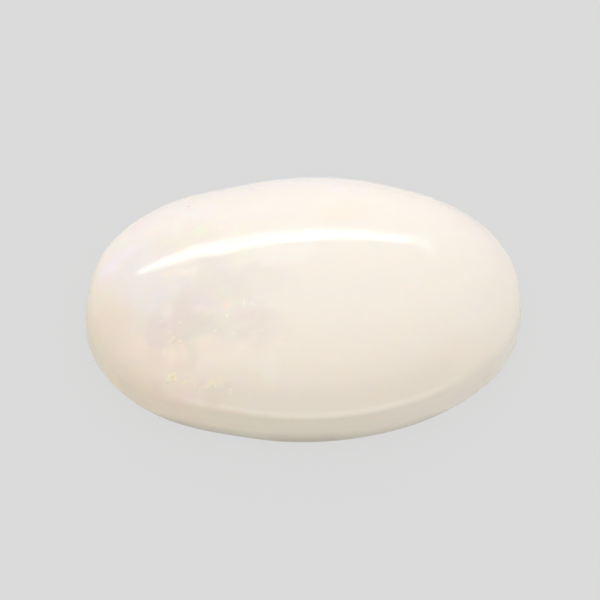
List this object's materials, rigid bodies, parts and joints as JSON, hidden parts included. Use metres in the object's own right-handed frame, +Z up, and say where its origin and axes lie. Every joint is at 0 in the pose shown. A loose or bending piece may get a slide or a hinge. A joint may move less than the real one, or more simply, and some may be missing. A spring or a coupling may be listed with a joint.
{
  "type": "polished opal cabochon",
  "caption": "Polished oval white opal cabochon with a smooth lopsided dome, rounded shoulder, plain girdle wall and flat ground back; loose, rests on its back.",
  "frame": {"origin": "on the plane of the flat back, under the middle of the bounding box", "axes": "+X along the length of the oval, towards the end nearer the top of the dome; +Z up through the dome; the front faces -Y"},
  "size_m": [0.016, 0.0106, 0.0045],
  "materials": {
    "white_opal": "polished, milky, with faint play of colour"
  },
  "bodies": {
    "root": {"opal_cabochon": "white_opal"}
  },
  "joints": []
}
